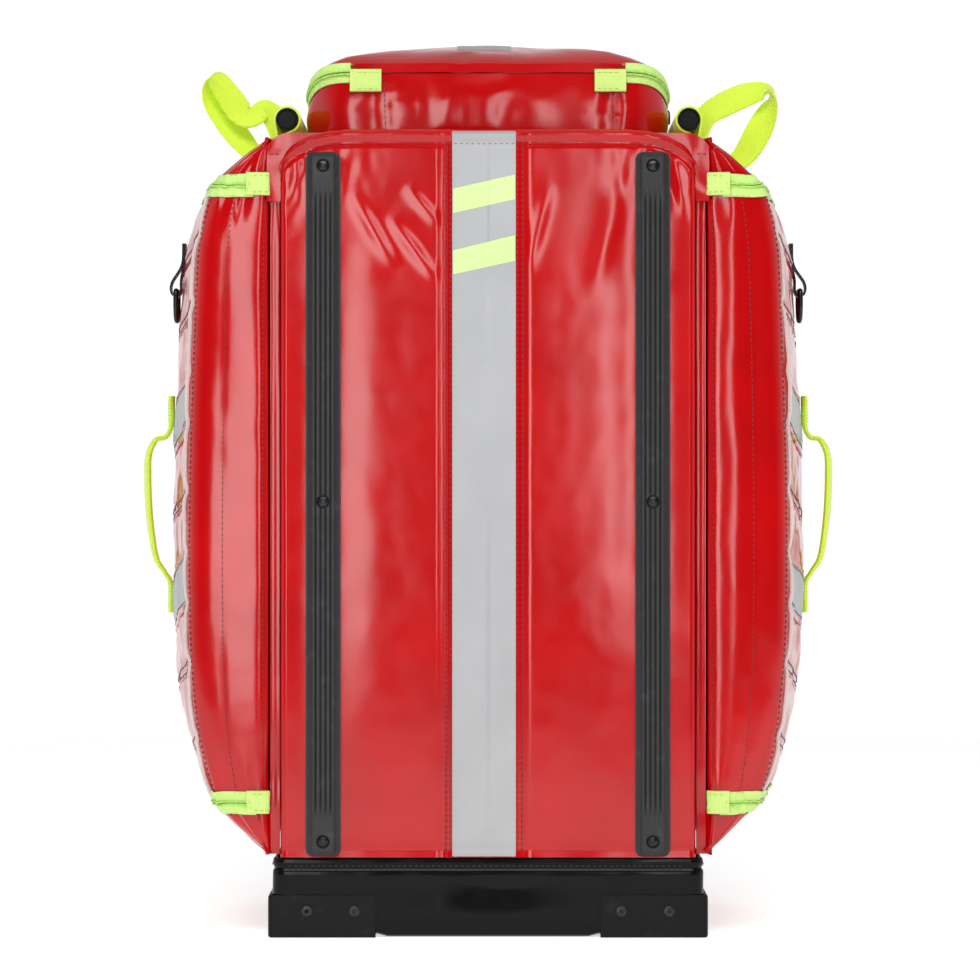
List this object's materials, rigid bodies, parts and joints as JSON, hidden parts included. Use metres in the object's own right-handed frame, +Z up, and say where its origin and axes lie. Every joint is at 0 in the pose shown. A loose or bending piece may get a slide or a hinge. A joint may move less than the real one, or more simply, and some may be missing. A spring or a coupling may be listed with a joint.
{
  "type": "trauma backpack",
  "caption": "Boxy tarpaulin medical backpack with zipped side pockets, a zipped top pocket, skid rails, corner guards, webbing handles and a padded harness.",
  "frame": {"origin": "centre of the footprint, on the surface that the corner guards stand on", "axes": "+Z up, front panel faces -Y, harness faces +Y, +X to the right seen from the front"},
  "size_m": [0.5774, 0.3297, 0.7282],
  "materials": {
    "red_tarpaulin": "glossy coated fabric",
    "black_tarpaulin": "glossy coated fabric",
    "black_plastic": "satin moulded",
    "black_fabric": "woven",
    "webbing": "high-visibility webbing",
    "zipper": "high-visibility zipper tape",
    "silver": "reflective tape",
    "steel": "dark",
    "lining": "woven"
  },
  "bodies": {
    "pack": {"back_pad": "black_fabric", "back_panel": "black_fabric", "base_tray": "black_tarpaulin", "corner_guard_front_left": "black_plastic", "corner_guard_front_right": "black_plastic", "corner_guard_rear_left": "black_plastic", "corner_guard_rear_right": "black_plastic", "divider_left": "lining", "divider_right": "lining", "frame_sheet": "black_plastic", "front_panel": "red_tarpaulin", "guard_screw_left_1": "steel", "guard_screw_left_2": "steel", "guard_screw_right_1": "steel", "guard_screw_right_2": "steel", "lumbar_pad": "black_fabric", "rail_screw_left_1": "steel", "rail_screw_left_2": "steel", "rail_screw_left_3": "steel", "rail_screw_right_1": "steel", "rail_screw_right_2": "steel", "rail_screw_right_3": "steel", "reflective_strip": "silver", "side_frame_left": "red_tarpaulin", "side_frame_right": "red_tarpaulin", "skid_rail_left": "black_plastic", "skid_rail_right": "black_plastic", "top_deck": "red_tarpaulin", "top_pocket_wall": "red_tarpaulin"},
    "lid": {"top_lid": "red_tarpaulin", "lid_zipper": "zipper"},
    "lid_slider": {"lid_slider": "steel"},
    "door_left": {"side_door_left": "red_tarpaulin", "door_zipper_left": "zipper", "ring_tab_left": "black_fabric"},
    "slider_left": {"door_slider_left": "steel"},
    "handle_left": {"side_handle_left": "webbing"},
    "ring_left": {"d_ring_left": "steel"},
    "grip_left": {"grip_tube_left": "black_plastic", "grip_sleeve_left": "webbing"},
    "haul_left": {"haul_loop_left": "webbing"},
    "strap_left": {"shoulder_strap_left": "black_fabric", "sternum_strap_left": "black_fabric", "sternum_buckle_socket": "black_plastic"},
    "wing_left": {"hip_wing_left": "black_fabric", "hip_buckle_socket": "black_plastic"},
    "door_right": {"side_door_right": "red_tarpaulin", "door_zipper_right": "zipper", "ring_tab_right": "black_fabric"},
    "slider_right": {"door_slider_right": "steel"},
    "handle_right": {"side_handle_right": "webbing"},
    "ring_right": {"d_ring_right": "steel"},
    "grip_right": {"grip_tube_right": "black_plastic", "grip_sleeve_right": "webbing"},
    "haul_right": {"haul_loop_right": "webbing"},
    "strap_right": {"shoulder_strap_right": "black_fabric", "sternum_strap_right": "black_fabric", "sternum_buckle_plug": "black_plastic"},
    "wing_right": {"hip_wing_right": "black_fabric", "hip_buckle_plug": "black_plastic"}
  },
  "joints": [
    {"name": "lid_hinge", "type": "hinge", "parent": "pack", "child": "lid", "pos_m": [0, -0.12, 0.697], "axis": [1, 0, 0], "range_deg": [0, 120]},
    {"name": "lid_slider_run", "type": "slide", "parent": "lid", "child": "lid_slider", "axis": [0, 1, 0], "range_m": [-0.09, 0]},
    {"name": "door_left_hinge", "type": "hinge", "parent": "pack", "child": "door_left", "pos_m": [-0.176, -0.152, 0.355], "axis": [0, 0, 1], "range_deg": [0, 120]},
    {"name": "slider_left_run", "type": "slide", "parent": "door_left", "child": "slider_left", "axis": [0, 0, 1], "range_m": [-0.09, 0.14]},
    {"name": "handle_left_swing", "type": "hinge", "parent": "door_left", "child": "handle_left", "pos_m": [-0.266, 0, 0.346], "axis": [0, 0, 1], "range_deg": [-35, 35]},
    {"name": "ring_left_swing", "type": "hinge", "parent": "door_left", "child": "ring_left", "pos_m": [-0.2625, 0, 0.526], "axis": [0, 1, 0], "range_deg": [0, 100]},
    {"name": "grip_left_tilt", "type": "hinge", "parent": "pack", "child": "grip_left", "pos_m": [-0.1705, 0, 0.6455], "axis": [0, -1, 0], "range_deg": [-6, 60]},
    {"name": "haul_left_swing", "type": "hinge", "parent": "pack", "child": "haul_left", "pos_m": [-0.19, 0.06, 0.643], "axis": [-0.8762, 0, -0.4819], "range_deg": [-35, 35]},
    {"name": "strap_left_swing", "type": "hinge", "parent": "pack", "child": "strap_left", "pos_m": [-0.05, 0.11, 0.604], "axis": [1, 0, 0], "range_deg": [0, 70]},
    {"name": "wing_left_fold", "type": "hinge", "parent": "pack", "child": "wing_left", "pos_m": [-0.125, 0.128, 0.12], "axis": [0, 0, 1], "range_deg": [0, 150]},
    {"name": "door_right_hinge", "type": "hinge", "parent": "pack", "child": "door_right", "pos_m": [0.176, -0.152, 0.355], "axis": [0, 0, -1], "range_deg": [0, 120]},
    {"name": "slider_right_run", "type": "slide", "parent": "door_right", "child": "slider_right", "axis": [0, 0, 1], "range_m": [-0.09, 0.14]},
    {"name": "handle_right_swing", "type": "hinge", "parent": "door_right", "child": "handle_right", "pos_m": [0.266, 0, 0.346], "axis": [0, 0, 1], "range_deg": [-35, 35]},
    {"name": "ring_right_swing", "type": "hinge", "parent": "door_right", "child": "ring_right", "pos_m": [0.2625, 0, 0.526], "axis": [0, -1, 0], "range_deg": [0, 100]},
    {"name": "grip_right_tilt", "type": "hinge", "parent": "pack", "child": "grip_right", "pos_m": [0.1705, 0, 0.6455], "axis": [0, 1, 0], "range_deg": [-6, 60]},
    {"name": "haul_right_swing", "type": "hinge", "parent": "pack", "child": "haul_right", "pos_m": [0.19, 0.06, 0.643], "axis": [0.8762, 0, -0.4819], "range_deg": [-35, 35]},
    {"name": "strap_right_swing", "type": "hinge", "parent": "pack", "child": "strap_right", "pos_m": [0.05, 0.11, 0.604], "axis": [1, 0, 0], "range_deg": [0, 70]},
    {"name": "wing_right_fold", "type": "hinge", "parent": "pack", "child": "wing_right", "pos_m": [0.125, 0.128, 0.12], "axis": [0, 0, -1], "range_deg": [0, 150]}
  ],
  "couplings": [
    {"joint": "strap_right_swing", "follows": "strap_left_swing", "ratio": 1}
  ]
}
